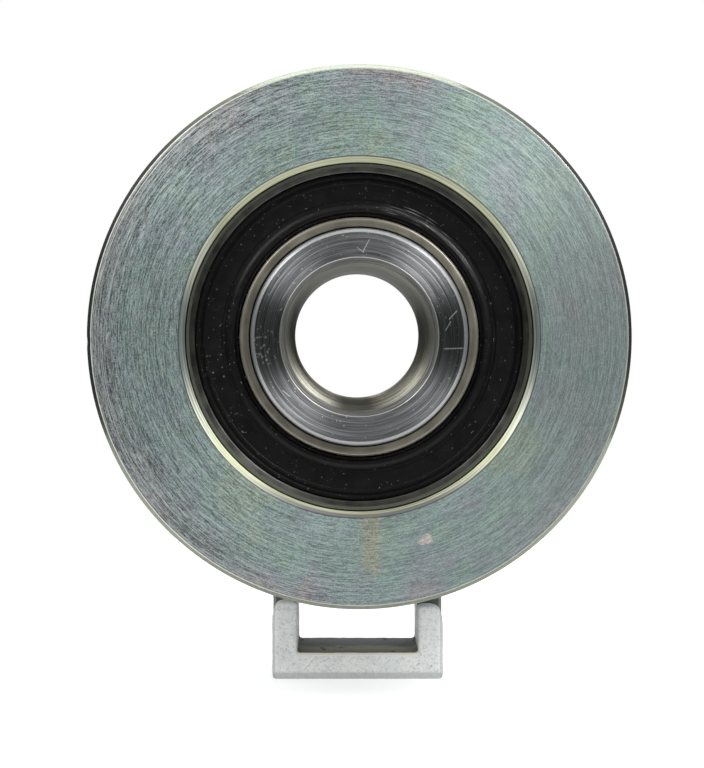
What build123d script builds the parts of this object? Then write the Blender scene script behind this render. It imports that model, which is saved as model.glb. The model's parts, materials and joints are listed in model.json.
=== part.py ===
from build123d import *
import os
from math import cos, radians, sin

# Track roller: a plated steel tyre on a sealed ball bearing, a flanged sleeve and a cast bracket.
# Frame: millimetres, +Z up. The roller turns about the Y axis, and its open front faces -Y.
# The origin is on the roller's axis, half-way through the width of the tyre.
os.makedirs("parts", exist_ok=True)

# ---- Driving dimensions -------------------------------------------------------------------
# Ball bearing, the standard 30 x 62 x 16 size with nine 9.525 mm balls
bearing_bore_r = 15.0
bearing_outer_r = 31.0
bearing_half = 8.0
bearing_corner = 1.0
inner_land_r = 20.15
inner_land_edge = 0.3
outer_land_r = 26.2
pitch_r = 23.0
ball_r = 9.525 / 2
ball_count = 9
raceway_r = ball_r + 0.09

# Tyre
tyre_r = 45.0
tyre_half = 12.5
tread_edge = 0.76
lip_r = 28.6
lip_mouth = 1.1
rear_mouth = 1.0
tyre_groove_r = 32.5

# Seals: radii and heights above the bearing's middle plane
seal_seat_r = 27.7
seal_seat_y = 6.4
seal_back_y = 6.9
seal_face_y = 7.7
seal_lip_r = inner_land_r + 0.3
seal_lip = 0.25
seal_rib_inner_r = 20.95
seal_rib_outer_r = 22.6
seal_rib_edge = 0.15
seal_rib_groove = 0.25
seal_rib_groove_outer_r = 23.05
seal_bead_inner_r = 26.85
seal_bead_outer_r = 27.45
seal_bead_rise = 0.2
seal_bead_groove = 0.2
seal_bead_groove_r = (26.45, 26.7)
seal_slope = 0.1
insert_inner_r = 21.6
insert_outer_r = 26.9

# Cage, pressed from sheet in two halves
cage_sheet = 0.75
cage_inner_r = 21.3
cage_outer_r = 24.7
pocket_r = ball_r + 0.2
rivet_r = 0.8
rivet_head_r = 1.3
rivet_head = 0.6

# Sleeve and the spacer behind the bearing
sleeve_bore_r = 12.2
collar_r = 18.0
collar_edge = 0.9
bore_mouth = 0.9
sleeve_end_y = 27.5
sleeve_tail_chamfer = 0.5
sleeve_groove_r = 14.3
spacer_chamfer = 0.4

# Circlips: thickness, bores, gaps at the top and plier eyes
groove_play = 0.1
tyre_clip = 2.0
tyre_clip_bore_r = 28.0
tyre_clip_shift = 0.6
tyre_clip_gap = (12.0, 30.0)
tyre_clip_gap_side = 82.0
tyre_clip_angle = 15.0
tyre_eye_r = 3.1
tyre_eye_place_r = 29.2
tyre_hole_r = 1.2
tyre_hole_place_r = 28.8
sleeve_clip = 1.5
sleeve_clip_outer_r = 17.6
sleeve_clip_play = 0.02
sleeve_clip_shift = 0.5
sleeve_clip_gap = (5.0, 8.0)
sleeve_clip_gap_z = 17.0
sleeve_clip_angle = 14.0
sleeve_eye_r = 2.4
sleeve_eye_place_r = 17.3
sleeve_hole_r = 1.1
sleeve_hole_place_r = 17.6

# Cast bracket
hub_front_y = 14.0
hub_rear_y = 24.5
hub_r = 22.0
web_front_y = 16.0
web_rear_y = 24.0
web_shoulder_x = 21.0
lug_half_x = 15.95
lug_front_y = 12.5
lug_waist_z = -45.0
lug_bottom_z = -64.0
pad_top_z = -49.8
pad_corner = 2.2
eye_half_x = 11.24
eye_floor_z = -59.0
eye_roof_z = -46.0
eye_corner = 1.0
side_bevel = 0.9
foot_bevel = 1.8
pocket_depth = 3.5
pocket_top_z = -26.0
pocket_bottom_z = -42.0
pocket_top_x = 13.0
pocket_bottom_x = 11.5
pocket_corner = 2.5


def across(y):
    """Sketch plane square to the roller's axis at height y, with X right and Z up."""
    return Plane.XZ.offset(-y)


def turned_outline(points):
    """Closed outline of (radius, y) points for a part turned about the Y axis."""
    with BuildLine() as outline:
        Polyline(*points, close=True)
    make_face(outline.edges())


# ---- Tyre: front lip, bearing seat from behind, circlip groove, plain tread ---------------
tyre_groove_rear = bearing_half + tyre_clip + groove_play
with BuildPart() as tyre:
    with BuildSketch(Plane.XY):
        turned_outline([
            (lip_r + lip_mouth, -tyre_half),
            (tyre_r - tread_edge, -tyre_half),
            (tyre_r, -tyre_half + tread_edge),
            (tyre_r, tyre_half - tread_edge),
            (tyre_r - tread_edge, tyre_half),
            (bearing_outer_r + rear_mouth, tyre_half),
            (bearing_outer_r, tyre_half - rear_mouth),
            (bearing_outer_r, tyre_groove_rear),
            (tyre_groove_r, tyre_groove_rear),
            (tyre_groove_r, bearing_half),
            (bearing_outer_r, bearing_half),
            (bearing_outer_r, -bearing_half),
            (lip_r, -bearing_half),
            (lip_r, -tyre_half + lip_mouth),
        ])
    revolve(axis=Axis.Y)
tyre.part.label = "tyre"
export_step(tyre.part, "parts/tyre.step")

# ---- Bearing rings ------------------------------------------------------------------------
with BuildPart() as bearing_outer_ring:
    with BuildSketch(Plane.XY):
        turned_outline([
            (seal_seat_r, -bearing_half),
            (bearing_outer_r - bearing_corner, -bearing_half),
            (bearing_outer_r, -bearing_half + bearing_corner),
            (bearing_outer_r, bearing_half - bearing_corner),
            (bearing_outer_r - bearing_corner, bearing_half),
            (seal_seat_r, bearing_half),
            (seal_seat_r, seal_seat_y),
            (outer_land_r, seal_seat_y),
            (outer_land_r, -seal_seat_y),
            (seal_seat_r, -seal_seat_y),
        ])
        with Locations((pitch_r, 0)):
            Circle(raceway_r, mode=Mode.SUBTRACT)
    revolve(axis=Axis.Y)
bearing_outer_ring.part.label = "bearing_outer_ring"
export_step(bearing_outer_ring.part, "parts/bearing_outer_ring.step")

with BuildPart() as bearing_inner_ring:
    with BuildSketch(Plane.XY):
        turned_outline([
            (bearing_bore_r + bearing_corner, -bearing_half),
            (inner_land_r - inner_land_edge, -bearing_half),
            (inner_land_r, -bearing_half + inner_land_edge),
            (inner_land_r, bearing_half - inner_land_edge),
            (inner_land_r - inner_land_edge, bearing_half),
            (bearing_bore_r + bearing_corner, bearing_half),
            (bearing_bore_r, bearing_half - bearing_corner),
            (bearing_bore_r, -bearing_half + bearing_corner),
        ])
        with Locations((pitch_r, 0)):
            Circle(raceway_r, mode=Mode.SUBTRACT)
    revolve(axis=Axis.Y)
bearing_inner_ring.part.label = "bearing_inner_ring"
export_step(bearing_inner_ring.part, "parts/bearing_inner_ring.step")

# ---- Balls, the first one at the top ------------------------------------------------------
ball_step = 360 / ball_count
for ball_index in range(ball_count):
    ball_angle = radians(90 + ball_index * ball_step)
    with BuildPart() as ball:
        with Locations((pitch_r * cos(ball_angle), 0, pitch_r * sin(ball_angle))):
            Sphere(ball_r)
    ball.part.label = f"ball_{ball_index + 1}"
    export_step(ball.part, f"parts/ball_{ball_index + 1}.step")

# ---- Cage: two pressed halves that meet between the balls, and their rivets ---------------
pocket_shell_r = pocket_r + cage_sheet
rivet_angle = 90 + ball_step / 2
for cage_label, side in (("cage_front", 1), ("cage_rear", -1)):
    with BuildPart(Plane.XZ) as cage_half:
        with PolarLocations(pitch_r, ball_count, start_angle=90):
            Sphere(pocket_shell_r)
        with BuildSketch(Plane.XZ) as cage_land:
            Circle(cage_outer_r)
            Circle(cage_inner_r, mode=Mode.SUBTRACT)
        extrude(amount=side * cage_sheet)
        extrude(cage_land.sketch, amount=side * pocket_shell_r, mode=Mode.INTERSECT)
        with PolarLocations(pitch_r, ball_count, start_angle=90):
            Sphere(pocket_r, mode=Mode.SUBTRACT)
        with BuildSketch(Plane.XZ):
            with PolarLocations(pitch_r, ball_count, start_angle=rivet_angle):
                Circle(rivet_r)
        extrude(amount=side * cage_sheet, mode=Mode.SUBTRACT)
    cage_half.part.label = cage_label
    export_step(cage_half.part, f"parts/{cage_label}.step")

with BuildPart() as cage_rivets:
    with BuildSketch(across(cage_sheet)):
        with PolarLocations(pitch_r, ball_count, start_angle=rivet_angle):
            Circle(rivet_r)
    extrude(amount=2 * cage_sheet)
    for head_y in (cage_sheet + rivet_head, -cage_sheet):
        with BuildSketch(across(head_y)):
            with PolarLocations(pitch_r, ball_count, start_angle=rivet_angle):
                Circle(rivet_head_r)
        extrude(amount=rivet_head)
cage_rivets.part.label = "cage_rivets"
export_step(cage_rivets.part, "parts/cage_rivets.step")

# ---- Seals: moulded rubber with a rib, a flat and a bead, on a steel stiffening ring ------
rib_floor_y = seal_face_y - seal_rib_groove
bead_floor_y = seal_face_y - seal_bead_groove
bead_top_y = seal_face_y + seal_bead_rise
for end, side in (("front", -1), ("rear", 1)):
    with BuildPart() as seal:
        with BuildSketch(Plane.XY):
            turned_outline([(radius, side * height) for radius, height in (
                (seal_lip_r, seal_back_y),
                (seal_lip_r, seal_back_y + seal_lip),
                (seal_rib_inner_r, seal_back_y + seal_lip + seal_rib_edge),
                (seal_rib_inner_r, bearing_half - seal_rib_edge),
                (seal_rib_inner_r + seal_rib_edge, bearing_half),
                (seal_rib_outer_r - seal_rib_edge, bearing_half),
                (seal_rib_outer_r, bearing_half - seal_rib_edge),
                (seal_rib_outer_r, rib_floor_y),
                (seal_rib_groove_outer_r, rib_floor_y),
                (seal_rib_groove_outer_r + seal_slope, seal_face_y),
                (seal_bead_groove_r[0] - seal_slope, seal_face_y),
                (seal_bead_groove_r[0], bead_floor_y),
                (seal_bead_groove_r[1], bead_floor_y),
                (seal_bead_inner_r, bead_top_y),
                (seal_bead_outer_r, bead_top_y),
                (seal_seat_r, bead_floor_y),
                (seal_seat_r, seal_seat_y),
                (insert_outer_r, seal_seat_y),
                (insert_outer_r, seal_back_y),
            )])
        revolve(axis=Axis.Y)
    seal.part.label = f"seal_{end}"
    export_step(seal.part, f"parts/seal_{end}.step")

    with BuildPart() as seal_insert:
        with BuildSketch(Plane.XY):
            turned_outline([
                (insert_inner_r, side * seal_seat_y),
                (insert_outer_r, side * seal_seat_y),
                (insert_outer_r, side * seal_back_y),
                (insert_inner_r, side * seal_back_y),
            ])
        revolve(axis=Axis.Y)
    seal_insert.part.label = f"seal_insert_{end}"
    export_step(seal_insert.part, f"parts/seal_insert_{end}.step")

# ---- Sleeve: front collar, bearing and bracket seat, circlip groove, through bore ---------
sleeve_groove_rear = hub_rear_y + sleeve_clip + groove_play
with BuildPart() as sleeve:
    with BuildSketch(Plane.XY):
        turned_outline([
            (sleeve_bore_r + bore_mouth, -tyre_half),
            (collar_r - collar_edge, -tyre_half),
            (collar_r, -tyre_half + collar_edge),
            (collar_r, -bearing_half),
            (bearing_bore_r, -bearing_half),
            (bearing_bore_r, hub_rear_y),
            (sleeve_groove_r, hub_rear_y),
            (sleeve_groove_r, sleeve_groove_rear),
            (bearing_bore_r, sleeve_groove_rear),
            (bearing_bore_r, sleeve_end_y - sleeve_tail_chamfer),
            (bearing_bore_r - sleeve_tail_chamfer, sleeve_end_y),
            (sleeve_bore_r + sleeve_tail_chamfer, sleeve_end_y),
            (sleeve_bore_r, sleeve_end_y - sleeve_tail_chamfer),
            (sleeve_bore_r, -tyre_half + bore_mouth),
        ])
    revolve(axis=Axis.Y)
sleeve.part.label = "sleeve"
export_step(sleeve.part, "parts/sleeve.step")

# ---- Spacer between the inner ring and the bracket ----------------------------------------
with BuildPart() as rear_spacer:
    with BuildSketch(Plane.XY):
        turned_outline([
            (bearing_bore_r, bearing_half),
            (collar_r - spacer_chamfer, bearing_half),
            (collar_r, bearing_half + spacer_chamfer),
            (collar_r, hub_front_y - spacer_chamfer),
            (collar_r - spacer_chamfer, hub_front_y),
            (bearing_bore_r, hub_front_y),
        ])
    revolve(axis=Axis.Y)
rear_spacer.part.label = "rear_spacer"
export_step(rear_spacer.part, "parts/rear_spacer.step")

# ---- Circlips: eccentric spring rings with a gap and two plier eyes at the top ------------
def eye_pair(place_r, half_angle):
    """Two places at a radius, mirrored left and right of the gap at the top."""
    return PolarLocations(place_r, 2, start_angle=90 - half_angle, angular_range=4 * half_angle)


with BuildPart() as tyre_circlip:
    with BuildSketch(across(bearing_half + tyre_clip)):
        Circle(tyre_groove_r - groove_play)
        with Locations((0, tyre_clip_shift)):
            Circle(tyre_clip_bore_r, mode=Mode.SUBTRACT)
        with Locations((0, tyre_r)):
            Trapezoid(*tyre_clip_gap, tyre_clip_gap_side, rotation=180, mode=Mode.SUBTRACT)
        with eye_pair(tyre_eye_place_r, tyre_clip_angle):
            Circle(tyre_eye_r)
        with eye_pair(tyre_hole_place_r, tyre_clip_angle):
            Circle(tyre_hole_r, mode=Mode.SUBTRACT)
    extrude(amount=tyre_clip)
tyre_circlip.part.label = "tyre_circlip"
export_step(tyre_circlip.part, "parts/tyre_circlip.step")

with BuildPart() as sleeve_circlip:
    with BuildSketch(across(hub_rear_y + sleeve_clip)):
        with Locations((0, -sleeve_clip_shift)):
            Circle(sleeve_clip_outer_r)
        with Locations((0, sleeve_clip_gap_z)):
            Rectangle(*sleeve_clip_gap, mode=Mode.SUBTRACT)
        with eye_pair(sleeve_eye_place_r, sleeve_clip_angle):
            Circle(sleeve_eye_r)
        with eye_pair(sleeve_hole_place_r, sleeve_clip_angle):
            Circle(sleeve_hole_r, mode=Mode.SUBTRACT)
        Circle(sleeve_groove_r + sleeve_clip_play, mode=Mode.SUBTRACT)
    extrude(amount=sleeve_clip)
sleeve_circlip.part.label = "sleeve_circlip"
export_step(sleeve_circlip.part, "parts/sleeve_circlip.step")

# ---- Bracket: hub on the sleeve, web behind the tyre, lug with a rectangular eye ----------
with BuildPart() as bracket:
    with BuildSketch(across(web_rear_y)):
        with BuildLine():
            Polyline(
                (-web_shoulder_x, 0),
                (-lug_half_x, lug_waist_z),
                (-lug_half_x, lug_bottom_z),
                (lug_half_x, lug_bottom_z),
                (lug_half_x, lug_waist_z),
                (web_shoulder_x, 0),
                close=True,
            )
        make_face()
    extrude(amount=web_rear_y - web_front_y)
    with BuildSketch(across(web_rear_y)) as pad_outline:
        with Locations((0, (pad_top_z + lug_bottom_z) / 2)):
            Rectangle(2 * lug_half_x, pad_top_z - lug_bottom_z)
        fillet(pad_outline.vertices().group_by(Axis.Z)[-1], pad_corner)
    extrude(amount=web_rear_y - lug_front_y)
    front_rim = bracket.faces().sort_by(Axis.Y)[0].edges()
    chamfer(front_rim.filter_by(Axis.Z), side_bevel)
    with BuildSketch(Plane.YZ):
        with BuildLine():
            Polyline(
                (lug_front_y, lug_bottom_z),
                (lug_front_y, lug_bottom_z + foot_bevel),
                (lug_front_y + foot_bevel / 2, lug_bottom_z),
                close=True,
            )
        make_face()
    extrude(amount=lug_half_x, both=True, mode=Mode.SUBTRACT)
    with BuildSketch(across(hub_rear_y)):
        Circle(hub_r)
    extrude(amount=hub_rear_y - hub_front_y)
    with BuildSketch(across(hub_rear_y)):
        Circle(bearing_bore_r)
    extrude(amount=hub_rear_y - hub_front_y, mode=Mode.SUBTRACT)
    with BuildSketch(across(hub_rear_y)) as eye:
        with Locations((0, (eye_floor_z + eye_roof_z) / 2)):
            Rectangle(2 * eye_half_x, eye_roof_z - eye_floor_z)
        fillet(eye.vertices(), eye_corner)
    extrude(amount=hub_rear_y - lug_front_y, mode=Mode.SUBTRACT)
    with BuildSketch(across(web_rear_y)) as pocket:
        with BuildLine():
            Polyline(
                (-pocket_top_x, pocket_top_z),
                (-pocket_bottom_x, pocket_bottom_z),
                (pocket_bottom_x, pocket_bottom_z),
                (pocket_top_x, pocket_top_z),
                close=True,
            )
        make_face()
        fillet(pocket.vertices(), pocket_corner)
    extrude(amount=pocket_depth, mode=Mode.SUBTRACT)
bracket.part.label = "bracket"
export_step(bracket.part, "parts/bracket.step")
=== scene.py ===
import json
from math import cos, hypot, pi, radians, sin

import bmesh
import bpy
from mathutils import Matrix, Vector, noise


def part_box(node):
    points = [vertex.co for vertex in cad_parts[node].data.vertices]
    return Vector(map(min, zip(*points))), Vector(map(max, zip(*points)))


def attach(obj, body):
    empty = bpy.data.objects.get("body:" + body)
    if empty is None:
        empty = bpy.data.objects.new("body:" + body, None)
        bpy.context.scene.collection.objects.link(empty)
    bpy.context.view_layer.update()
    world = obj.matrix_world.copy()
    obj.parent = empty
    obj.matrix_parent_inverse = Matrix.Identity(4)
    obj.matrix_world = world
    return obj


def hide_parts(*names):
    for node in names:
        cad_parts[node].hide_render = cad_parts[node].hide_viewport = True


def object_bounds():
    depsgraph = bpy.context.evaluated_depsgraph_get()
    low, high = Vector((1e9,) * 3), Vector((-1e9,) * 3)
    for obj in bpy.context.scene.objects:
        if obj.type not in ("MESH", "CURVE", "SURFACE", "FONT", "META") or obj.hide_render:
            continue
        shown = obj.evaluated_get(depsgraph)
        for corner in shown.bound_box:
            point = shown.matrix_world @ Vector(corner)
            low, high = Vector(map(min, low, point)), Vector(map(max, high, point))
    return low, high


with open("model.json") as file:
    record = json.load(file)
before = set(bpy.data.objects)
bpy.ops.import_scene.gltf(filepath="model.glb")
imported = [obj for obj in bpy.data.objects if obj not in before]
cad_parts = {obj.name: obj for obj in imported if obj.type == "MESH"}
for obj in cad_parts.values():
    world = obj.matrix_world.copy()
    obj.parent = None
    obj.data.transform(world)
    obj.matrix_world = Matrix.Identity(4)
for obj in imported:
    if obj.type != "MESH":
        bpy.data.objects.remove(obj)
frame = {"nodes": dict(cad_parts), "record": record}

cad_low, cad_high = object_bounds()

# ---- Sizes in millimetres, in the frame of the CAD model ------------------------------------
MM = 0.001
SIZES = {
    node: [[axis / MM for axis in corner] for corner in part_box(node)]
    for node in frame["nodes"]
}


def outer_radius(node):
    return SIZES[node][1][0]


def front(node):
    return SIZES[node][0][1]


def rear(node):
    return SIZES[node][1][1]


TYRE_R = outer_radius("tyre")
RING_R = outer_radius("bearing_outer_ring")
LAND_R = outer_radius("bearing_inner_ring")
SEAL_R = outer_radius("seal_front")
COLLAR_R = outer_radius("sleeve")
LIP_R = 28.6  # bore of the tyre's front lip
RING_BORE_R = 15.0
SLEEVE_BORE_R = 12.2
CLIP_GROOVE_R = 14.3  # bottom of the sleeve's circlip groove
TREAD_EDGE = 0.76  # chamfers, measured along the radius
LIP_MOUTH = 1.1
COLLAR_EDGE = 0.9
BORE_MOUTH = 0.9
COLLAR_GROOVES = (14.15, 15.65, 16.35)  # radii of light tool rings on the collar's face

PITCH_R = 23.0  # circle through the balls' centres
RACE_R = 4.8525
OUTER_LAND_R = 26.2
SEAL_SEAT_Y = 6.4
SEAL_FACE_Y = 7.7
SEAL_BACK_Y = 6.9
SEAL_GROOVE_Y = 7.44

TURNS = 480  # facets around the finer lathe pieces
TYRE_TURNS = 720

HUB_R = 22.0
HUB_HALF_X = 21.0  # the web's half width at the axis
HUB_FRONT_Y = 14.0
LUG_HALF_X = 15.95
LUG_FRONT_Y = 12.5
WEB_FRONT_Y = 16.0
WEB_REAR_Y = 24.0
POCKET_FLOOR_Y = 20.5
LUG_BOTTOM_Z = SIZES["bracket"][0][2]
LUG_TOP_Z = -45.0  # where the tapering web meets the lug's straight sides
PAD_TOP_Z = -49.8
EYE_HALF_X = 11.24
EYE_FLOOR_Z = -59.0
EYE_ROOF_Z = -46.0
FOOT_BEVEL = 1.8
SIDE_BEVEL = 0.9
SKIN_VOXEL = 0.27
SKIN_SEED = 7  # never 0, which draws the bumps from the clock


# ---- Mesh helpers ---------------------------------------------------------------------------
def piece(name, mesh, body, slot, replaced):
    """Finished object: named, painted, riding on its body and standing for its CAD node."""
    mesh.materials.clear()
    mesh.materials.append(MATERIALS[slot])
    made = bpy.data.objects.new(name, mesh)
    bpy.context.scene.collection.objects.link(made)
    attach(made, body)
    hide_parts(replaced)
    return made


def rounded(corners, steps=4):
    """Outline of (a, b) points from (a, b, fillet) corners; a fillet is a short curve."""
    outline = []
    for index, (a, b, fillet) in enumerate(corners):
        corner = Vector((a, b))
        if fillet == 0:
            outline.append(tuple(corner))
            continue
        before = Vector(corners[index - 1][:2]) - corner
        after = Vector(corners[(index + 1) % len(corners)][:2]) - corner
        start = corner + before.normalized() * min(fillet, before.length * 0.49)
        end = corner + after.normalized() * min(fillet, after.length * 0.49)
        for step in range(steps + 1):
            t = step / steps
            point = start * (1 - t) ** 2 + corner * 2 * t * (1 - t) + end * t ** 2
            outline.append(tuple(point))
    return outline


def finish_mesh(mesh, sharp=radians(28)):
    """Outward normals and smooth shading that keeps the sharp edges."""
    shaped = bmesh.new()
    shaped.from_mesh(mesh)
    bmesh.ops.recalc_face_normals(shaped, faces=shaped.faces)
    shaped.to_mesh(mesh)
    shaped.free()
    mesh.shade_smooth()
    mesh.set_sharp_from_angle(angle=sharp)
    return mesh


def lathe(name, outline, turns=TURNS):
    """Closed outline of (radius, y) points turned about the Y axis."""
    count = len(outline)
    verts = []
    faces = []
    for turn in range(turns):
        angle = 2 * pi * turn / turns
        verts += [(r * cos(angle) * MM, y * MM, r * sin(angle) * MM) for r, y in outline]
        here = turn * count
        there = (turn + 1) % turns * count
        for step in range(count):
            following = (step + 1) % count
            faces.append((here + step, here + following, there + following, there + step))
    mesh = bpy.data.meshes.new(name)
    mesh.from_pydata(verts, [], faces)
    return finish_mesh(mesh)


def plate(name, outlines, y_front, y_rear, edge):
    """Flat plate square to the Y axis from closed (x, z) outlines, the later ones holes."""
    curve = bpy.data.curves.new(name, "CURVE")
    curve.dimensions = "2D"
    curve.fill_mode = "BOTH"
    curve.extrude = ((y_rear - y_front) / 2 - edge) * MM
    curve.bevel_depth = edge * MM
    curve.bevel_resolution = 2
    curve.offset = -edge * MM
    for outline in outlines:
        spline = curve.splines.new("POLY")
        spline.points.add(len(outline) - 1)
        for point, (x, z) in zip(spline.points, outline):
            point.co = (x * MM, z * MM, 0, 1)
        spline.use_cyclic_u = True
    flat = bpy.data.objects.new(name, curve)
    mesh = bpy.data.meshes.new_from_object(flat)
    to_middle = Matrix.Translation((0, (y_front + y_rear) / 2 * MM, 0))
    mesh.transform(to_middle @ Matrix.Rotation(pi / 2, 4, "X"))
    bpy.data.objects.remove(flat)
    bpy.data.curves.remove(curve)
    welded = bmesh.new()
    welded.from_mesh(mesh)
    bmesh.ops.remove_doubles(welded, verts=welded.verts, dist=0.001 * MM)
    welded.to_mesh(mesh)
    welded.free()
    return finish_mesh(mesh)


def circle(radius, centre=(0, 0), steps=96, start=0.0, sweep=2 * pi):
    """Points on an arc in the XZ plane; a full circle leaves out its repeated end."""
    count = steps if sweep == 2 * pi else steps + 1
    angles = [start + sweep * k / steps for k in range(count)]
    return [(centre[0] + radius * cos(a), centre[1] + radius * sin(a)) for a in angles]


def nick(mesh, at, reach, depth, towards):
    """Small dent: vertices within reach of a point move along a direction."""
    spot = Vector(at) * MM
    push = Vector(towards).normalized() * depth * MM
    for vertex in mesh.vertices:
        gap = (vertex.co - spot).length / (reach * MM)
        if gap < 1:
            vertex.co += push * (1 - gap * gap) ** 2


# ---- Node helpers ---------------------------------------------------------------------------
class Graph:
    """Node tree of one material. Lengths inside it are millimetres in the frame of the part."""

    def __init__(self, name, **shader):
        self.material = bpy.data.materials.new(name)
        self.material.use_nodes = True
        self.tree = self.material.node_tree
        self.shader = self.tree.nodes["Principled BSDF"]
        for socket, value in shader.items():
            self.set(socket.replace("_", " "), value)
        coordinates = self.node("ShaderNodeTexCoord").outputs["Object"]
        self.place = self.vector("SCALE", coordinates, Scale=1 / MM)
        axes = self.node("ShaderNodeSeparateXYZ", Vector=self.place)
        self.x, self.y, self.z = (axes.outputs[axis] for axis in "XYZ")
        flat = self.vector("MULTIPLY", self.place, (1, 0, 1))
        self.radius = self.node("ShaderNodeVectorMath", "LENGTH", Vector=flat).outputs["Value"]
        self.spoke = self.vector("NORMALIZE", flat)

    def node(self, kind, operation=None, **inputs):
        made = self.tree.nodes.new(kind)
        if operation is not None:
            made.operation = operation
        for socket, value in inputs.items():
            self.feed(made.inputs[socket.replace("_", " ")], value)
        return made

    def feed(self, socket, value):
        if isinstance(value, bpy.types.NodeSocket):
            self.tree.links.new(value, socket)
        else:
            socket.default_value = value

    def set(self, socket, value):
        self.feed(self.shader.inputs[socket], value)

    def vector(self, operation, first, second=None, **inputs):
        made = self.node("ShaderNodeVectorMath", operation, **inputs)
        self.feed(made.inputs[0], first)
        if second is not None:
            self.feed(made.inputs[1], second)
        return made.outputs["Vector"]

    def math(self, operation, first, second=0.0):
        made = self.node("ShaderNodeMath", operation)
        self.feed(made.inputs[0], first)
        self.feed(made.inputs[1], second)
        return made.outputs[0]

    def add(self, first, second):
        return self.math("ADD", first, second)

    def times(self, first, second):
        return self.math("MULTIPLY", first, second)

    def noise(self, vector, scale, detail=2.0, roughness=0.5, colour=False):
        made = self.node(
            "ShaderNodeTexNoise", Vector=vector, Scale=scale, Detail=detail, Roughness=roughness
        )
        return made.outputs["Color" if colour else "Fac"]

    def stretch(self, value, low, high, to_low=0.0, to_high=1.0):
        """Value mapped from low..high to to_low..to_high, clamped."""
        limits = {"From_Min": low, "From_Max": high, "To_Min": to_low, "To_Max": to_high}
        return self.node("ShaderNodeMapRange", Value=value, **limits).outputs["Result"]

    def band(self, value, low, high, soft):
        """One between low and high, falling to zero over soft on both sides."""
        rising = self.stretch(value, low - soft, low)
        return self.times(rising, self.fade(value, high, high + soft))

    def fade(self, value, low, high):
        """One up to low, falling to zero at high."""
        return self.stretch(value, low, high, 1.0, 0.0)

    def larger(self, first, second):
        return self.math("MAXIMUM", first, second)

    def mix(self, factor, first, second, blend="MIX"):
        """Two colours mixed by a factor; a colour may be a plain (r, g, b)."""
        made = self.tree.nodes.new("ShaderNodeMix")
        made.data_type = "RGBA"
        made.blend_type = blend
        for index, value in ((0, factor), (6, first), (7, second)):
            if isinstance(value, tuple) and len(value) == 3:
                value = (*value, 1.0)
            self.feed(made.inputs[index], value)
        return made.outputs[2]

    def ramp(self, value, stops):
        made = self.node("ShaderNodeValToRGB", Fac=value)
        elements = made.color_ramp.elements
        while len(elements) < len(stops):
            elements.new(1.0)
        for element, (position, colour) in zip(elements, stops):
            element.position = position
            element.color = (*colour, 1.0)
        return made.outputs["Color"]

    def rings(self, around, across, detail=2.0, roughness=0.5):
        """Noise drawn out along circles about the Y axis, as a lathe tool leaves it.

        The depth along Y is weighted, because radius plus depth would not change along a
        45 degree chamfer and would leave it smooth.
        """
        turned = self.vector("SCALE", self.spoke, Scale=around)
        depth = self.times(self.add(self.radius, self.times(self.y, 1.7)), across)
        step = self.node("ShaderNodeCombineXYZ", Y=depth).outputs["Vector"]
        return self.noise(self.vector("ADD", turned, step), 1.0, detail, roughness)

    def scratch(self, x, z, angle, length, width):
        """One straight scratch centred at (x, z), at an angle in the XZ plane."""
        moved = self.vector("SUBTRACT", self.place, (x, 0, z))
        turned = self.node(
            "ShaderNodeVectorRotate", Vector=moved, Angle=radians(angle), Axis=(0, 1, 0)
        )
        axes = self.node("ShaderNodeSeparateXYZ", Vector=turned.outputs["Vector"])
        lengthwise = self.math("ABSOLUTE", axes.outputs["X"])
        sideways = self.math("ABSOLUTE", axes.outputs["Z"])
        along = self.fade(lengthwise, length * 0.4, length * 0.5)
        return self.times(along, self.fade(sideways, 0.0, width))

    def spot(self, x, z, radius, soft, wobble=0.0):
        """One inside a blotch with an uneven edge, centred at (x, z)."""
        moved = self.vector("SUBTRACT", self.place, (x, 0, z))
        flat = self.vector("MULTIPLY", moved, (1, 0, 1))
        reach = self.node("ShaderNodeVectorMath", "LENGTH", Vector=flat).outputs["Value"]
        uneven = self.add(reach, self.times(self.noise(self.place, 1.2, 3.0), wobble))
        return self.fade(uneven, radius + wobble / 2, radius + soft + wobble / 2)

    def brightness(self, colour, level):
        """Colour multiplied by a single value."""
        grey = self.node("ShaderNodeCombineXYZ", X=level, Y=level, Z=level)
        return self.mix(1.0, colour, grey.outputs["Vector"], "MULTIPLY")

    def bump(self, height, strength, distance):
        """Bump with its height in millimetres times distance."""
        made = self.node("ShaderNodeBump", Height=height, Strength=strength, Distance=distance * MM)
        self.set("Normal", made.outputs["Normal"])

    def turned_tangent(self):
        tangent = self.tree.nodes.new("ShaderNodeTangent")
        tangent.direction_type = "RADIAL"
        tangent.axis = "Y"
        self.set("Tangent", tangent.outputs["Tangent"])


# ---- Materials ------------------------------------------------------------------------------
ACROSS_MARKS = 0.25  # anisotropic rotation that fans highlights out across turned marks


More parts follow.
